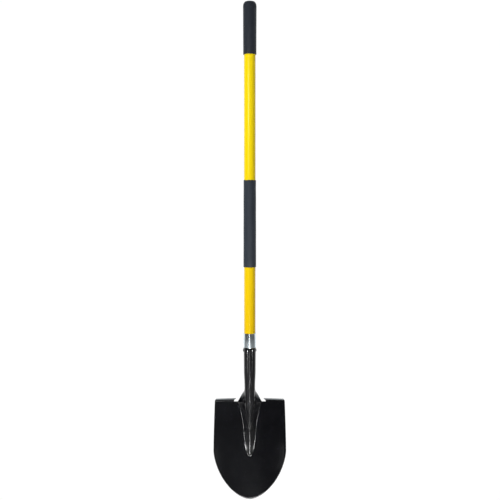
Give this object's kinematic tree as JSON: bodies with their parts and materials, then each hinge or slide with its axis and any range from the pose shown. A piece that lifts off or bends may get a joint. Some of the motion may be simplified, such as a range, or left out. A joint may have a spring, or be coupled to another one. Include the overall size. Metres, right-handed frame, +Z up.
{
  "type": "round point shovel",
  "caption": "Long-handled round point digging shovel: black stamped blade with rolled socket and turned steps, yellow tube handle, steel collar, sleeve grip and closed end grip.",
  "frame": {"origin": "on the floor under the centre of the box that holds the shovel; the blade's tip is at height zero and the shaft's axis stands 13 mm behind the origin", "axes": "+Z up along the shaft from tip to end grip, -Y the way the scooping face looks, +X to the right of someone who looks at that face"},
  "size_m": [0.2216, 0.0889, 1.499],
  "materials": {
    "black_enamel": "satin black baked enamel over stamped steel",
    "yellow_fibreglass": "smooth bright yellow pultruded fibreglass",
    "core_wood": "bare turned hardwood",
    "plug_plastic": "moulded black plastic",
    "collar_steel": "bright zinc-plated rolled steel",
    "rivet_steel": "darkened steel rivet",
    "mid_grip_rubber": "dark blue-grey soft sleeve, matt",
    "end_grip_rubber": "dark grey moulded grip, matt with a textured ring at the crown"
  },
  "bodies": {
    "root": {"blade": "black_enamel", "handle_tube": "yellow_fibreglass", "core_dowel": "core_wood", "end_plug": "plug_plastic", "collar": "collar_steel", "socket_rivet": "rivet_steel", "mid_grip": "mid_grip_rubber", "end_grip": "end_grip_rubber"}
  },
  "joints": []
}
